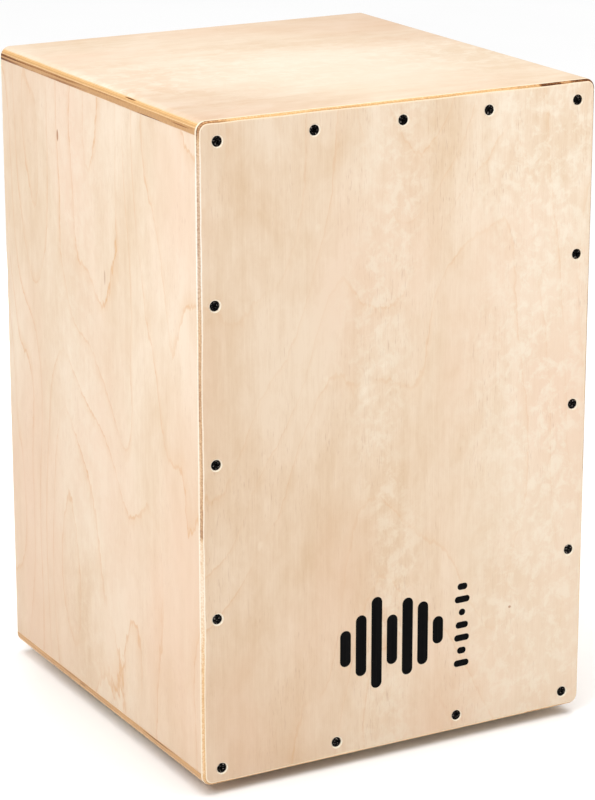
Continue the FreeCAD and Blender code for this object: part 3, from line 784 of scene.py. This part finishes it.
def face_screws(material):
    """Countersunk screws, each turned by its own amount."""
    head, shank = SCREW_HEAD_RADIUS, SCREW_SHANK_RADIUS
    tip, point = 0.2 * MM, 2 * MM
    profile = [(0, 0), (head * 0.86, 0), (head - 0.12 * MM, -0.03 * MM), (head, -SCREW_RIM),
               (shank, -SCREW_RIM - (head - shank)), (shank, -SCREW_LENGTH + point),
               (tip, -SCREW_LENGTH), (0, -SCREW_LENGTH)]
    mesh = carved_screw("face_screw", profile, SCREW_RECESS_RADIUS, SCREW_RECESS_DEPTH, material)
    draw = random.Random(15)
    places = []
    for centre in screw_centres():
        spin = Matrix.Rotation(draw.uniform(0, math.pi / 2), 4, "Z")
        places.append((mesh, Matrix.Translation(centre) @ TO_FRONT @ spin))
    screws = make_object("face_screws_black", merged("face_screws_black", places), material)
    soften(screws, 30)
    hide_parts("face_screws")
    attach(screws, "cabinet")


# ---- printed mark ----

def capsule_outline(x, z, half_width, half_height, steps=8):
    """A bar or dash with round ends."""
    return rounded_outline(x - half_width, x + half_width, z - half_height, z + half_height,
                           [min(half_width, half_height) * 0.999] * 4, steps)


def printed_mark(material):
    """A plain print at the lower right: a row of sound-level bars and a narrow column of dashes."""
    low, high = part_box("playing_face")
    middle_x, middle_z = low.x + 145 * MM, low.z + 78 * MM
    dash_x = low.x + 201 * MM
    ink_low, ink_high = low.y - 0.02 * MM, low.y + 0.05 * MM
    bar_pitch, bar_half_width = 12.2 * MM, 4.2 * MM
    dash_pitch, dash_half_height = 9.4 * MM, 2.4 * MM
    shapes = []
    half_heights = [13, 22, 33, 18, 28, 23, 10]
    for number, half_height in enumerate(half_heights):
        x = middle_x + (number - (len(half_heights) - 1) / 2) * bar_pitch
        shapes.append(capsule_outline(x, middle_z, bar_half_width, half_height * MM))
    half_widths = [6, 3.5, 6, 5, 2.6, 6, 4]
    for number, half_width in enumerate(half_widths):
        z = middle_z + (number - (len(half_widths) - 1) / 2) * dash_pitch
        shapes.append(capsule_outline(dash_x, z, half_width * MM, dash_half_height))
    parts = []
    for outline in shapes:
        rings = [[Vector((x, y, z)) for x, z in outline] for y in (ink_high, ink_low)]
        parts.append((loft("bar", rings), Matrix.Identity(4)))
    mark = make_object("face_print", merged("face_print", parts), material)
    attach(mark, "cabinet")


# ---- feet ----

def foot(node, material):
    """A tapered rubber foot with a recess in its sole for the washer and screw."""
    low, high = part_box(node)
    centre = (low + high) / 2
    top_radius = (high.x - low.x) / 2
    height = high.z - low.z
    bottom_radius = top_radius - FOOT_TAPER
    lip = 0.4 * MM
    profile = [(FOOT_HOLE_RADIUS, height), (top_radius - FOOT_BEVEL, height),
               (top_radius, height - FOOT_BEVEL)]
    profile += [(bottom_radius - inset, depth) for inset, depth in quarter_round(FOOT_ROUND, 6)]
    profile += [(FOOT_RECESS_RADIUS + lip, 0), (FOOT_RECESS_RADIUS, lip),
                (FOOT_RECESS_RADIUS, FOOT_RECESS_DEPTH), (FOOT_HOLE_RADIUS, FOOT_RECESS_DEPTH)]
    mesh = lathe_ring(node + "_rubber", profile)
    mesh.transform(Matrix.Translation((centre.x, centre.y, low.z)))
    thing = make_object(node + "_rubber", mesh, material)
    soften(thing)
    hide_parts(node)
    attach(thing, "cabinet")


def lathe_ring(name, profile, segments=48):
    """A solid of revolution whose profile is a closed loop clear of the axis."""
    mesh = bpy.data.meshes.new(name)
    work = bmesh.new()
    loops = []
    for turn in range(segments):
        angle = turn * math.tau / segments
        loops.append([work.verts.new((radius * math.cos(angle), radius * math.sin(angle), height))
                      for radius, height in profile])
    count = len(profile)
    for turn in range(segments):
        here, there = loops[turn], loops[(turn + 1) % segments]
        for number in range(count):
            other = (number + 1) % count
            work.faces.new((here[number], here[other], there[other], there[number]))
    bmesh.ops.recalc_face_normals(work, faces=work.faces)
    work.to_mesh(mesh)
    work.free()
    return mesh


# ---- snare ----

def snare_lean():
    """The angle by which the wires lean forward at rest, from the box of one set."""
    low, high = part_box("left_snare_wires")
    return math.atan2((high.y - low.y) - 2 * WIRE_RADIUS, high.z - low.z)


def coil(name, start, end, radius):
    """An open coil of thin wire between two points."""
    axis = end - start
    length = axis.length
    axis.normalize()
    side_way = Vector((1, 0, 0))
    other_way = axis.cross(side_way).normalized()
    turns = length / COIL_PITCH
    count = int(turns * COIL_POINTS_PER_TURN)
    rings = []
    for number in range(count + 1):
        share = number / count
        angle = math.tau * turns * share
        out = side_way * math.cos(angle) + other_way * math.sin(angle)
        tangent = (axis * COIL_PITCH + (other_way * math.cos(angle) - side_way * math.sin(angle))
                   * math.tau * radius).normalized()
        binormal = tangent.cross(out).normalized()
        centre = start + axis * (length * share) + out * radius
        rings.append([centre + (out * math.cos(math.tau * k / COIL_SIDES)
                                + binormal * math.sin(math.tau * k / COIL_SIDES)) * COIL_WIRE_RADIUS
                      for k in range(COIL_SIDES)])
    return loft(name, rings)


def snare_wires(node, material):
    """Ten coiled wires in place of the rods of one set."""
    low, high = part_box(node)
    lean = snare_lean()
    back_off, rise = WIRE_RADIUS * math.cos(lean), WIRE_RADIUS * math.sin(lean)
    span_low, span_high = low.x + WIRE_RADIUS, high.x - WIRE_RADIUS
    bottom = Vector((0, high.y - back_off, low.z + rise))
    top = Vector((0, low.y + back_off, high.z - rise))
    parts = []
    for number in range(WIRES_PER_SET):
        x = span_low + (span_high - span_low) * number / (WIRES_PER_SET - 1)
        shift = Vector((x, 0, 0))
        wire = coil("coil", bottom + shift, top + shift, WIRE_RADIUS - COIL_WIRE_RADIUS)
        parts.append((wire, Matrix.Identity(4)))
    wires = make_object(node + "_coils", merged(node + "_coils", parts), material)
    for polygon in wires.data.polygons:
        polygon.use_smooth = True
    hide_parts(node)
    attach(wires, "snare")


# ---- stage ----

def studio(paint):
    """White floor, white surroundings that light the object only faintly, and soft lamps."""
    mesh = bpy.data.meshes.new("studio_floor")
    corners = [(x * FLOOR_REACH, y * FLOOR_REACH, 0) for x, y in ((-1, -1), (1, -1), (1, 1), (-1, 1))]
    mesh.from_pydata(corners, [], [(0, 1, 2, 3)])
    floor = make_object("studio_floor", mesh, paint)
    world = bpy.data.worlds.new("studio")
    world.use_nodes = True
    tree = world.node_tree
    lighting = tree.nodes["Background"]
    lighting.inputs["Color"].default_value = (1, 1, 1, 1)
    lighting.inputs["Strength"].default_value = WORLD_LIGHT
    backdrop = tree.nodes.new("ShaderNodeBackground")
    backdrop.inputs["Color"].default_value = (1, 1, 1, 1)
    choice = tree.nodes.new("ShaderNodeMixShader")
    ray = tree.nodes.new("ShaderNodeLightPath")
    tree.links.new(ray.outputs["Is Camera Ray"], choice.inputs[0])
    tree.links.new(lighting.outputs[0], choice.inputs[1])
    tree.links.new(backdrop.outputs[0], choice.inputs[2])
    tree.links.new(choice.outputs[0], tree.nodes["World Output"].inputs["Surface"])
    bpy.context.scene.world = world
    sun = bpy.data.lights.new("overhead", "SUN")
    sun.energy = OVERHEAD_POWER
    sun.angle = math.radians(OVERHEAD_SPREAD)
    bpy.context.scene.collection.objects.link(bpy.data.objects.new("overhead", sun))
    for name, offset, size, power in LAMPS:
        lamp(name, MIDDLE + Vector(offset), MIDDLE, size, power)


def lamp(name, place, target, size, power):
    """A round soft lamp that looks at a point and isn't seen itself."""
    data = bpy.data.lights.new(name, "AREA")
    data.shape = "DISK"
    data.size = size
    data.energy = power
    light = bpy.data.objects.new(name, data)
    light.location = place
    light.rotation_mode = "QUATERNION"
    light.rotation_quaternion = (target - place).to_track_quat("-Z", "Y")
    light.visible_camera = False
    bpy.context.scene.collection.objects.link(light)


def camera():
    """The camera, to the left of the playing face and a little above."""
    data = bpy.data.cameras.new("camera")
    data.lens = CAMERA_LENS
    data.clip_start, data.clip_end = 0.05, 50
    thing = bpy.data.objects.new("camera", data)
    turn, rise = math.radians(CAMERA_AZIMUTH), math.radians(CAMERA_ELEVATION)
    back_way = Vector((math.sin(turn) * math.cos(rise), -math.cos(turn) * math.cos(rise), math.sin(rise)))
    thing.location = MIDDLE + CAMERA_OFFSET
    thing.rotation_mode = "QUATERNION"
    thing.rotation_quaternion = (-back_way).to_track_quat("-Z", "Y")
    bpy.context.scene.collection.objects.link(thing)
    bpy.context.scene.camera = thing


def repaint(nodes, material):
    """Gives CAD nodes whose shape is right a better material."""
    for node in nodes:
        thing = frame["nodes"][node]
        thing.data.materials.clear()
        thing.data.materials.append(material)


def build():
    """All the pieces: shaped ones first, then CAD nodes that only take a material."""
    black = black_steel()
    rubber_black = rubber()
    zinc = metal("zinc_plate", srgb(196, 198, 202), 0.32)
    brass = metal("end_plate_brass", srgb(212, 176, 104), 0.30)
    wire = metal("snare_wire_steel", srgb(214, 214, 216), 0.24)
    playing_face()
    lid("top_panel", 5.0, [("Y", [(0.0, 0.50), (0.5, 0.60), (0.75, 0.80), (0.9, 1.05), (1.0, 1.25)])])
    lid("bottom_panel", 6.0, [("Y", [(0.0, 0.55), (0.4, 0.45), (0.7, 0.65), (1.0, 0.5)])])
    side("left_side_panel", 7.0)
    side("right_side_panel", 8.0)
    back()
    face_screws(black)
    printed_mark(ink())
    for node in ("front_left_foot", "front_right_foot", "rear_left_foot", "rear_right_foot"):
        foot(node, rubber_black)
    snare_wires("left_snare_wires", wire)
    snare_wires("right_snare_wires", wire)
    pine = (srgb(232, 204, 162), srgb(204, 166, 118))
    across = bare_wood("batten_wood_across", "X", 1.0, *pine)
    upright = bare_wood("batten_wood_upright", "Z", 2.0, *pine)
    repaint(["front_top_batten", "front_bottom_batten", "rear_top_batten", "rear_bottom_batten",
             "snare_bar"], across)
    repaint(["front_left_batten", "front_right_batten", "rear_left_batten", "rear_right_batten",
             "left_snare_cleat", "right_snare_cleat"], upright)
    repaint(["left_friction_washer", "right_friction_washer"], rubber_black)
    repaint(["foot_washers", "foot_screws", "end_plate_screws", "left_pivot_pin", "right_pivot_pin"],
            zinc)
    repaint(["left_end_plate", "right_end_plate"], brass)


build()
studio(floor_paint())
camera()
bpy.context.scene.view_settings.view_transform = "Standard"
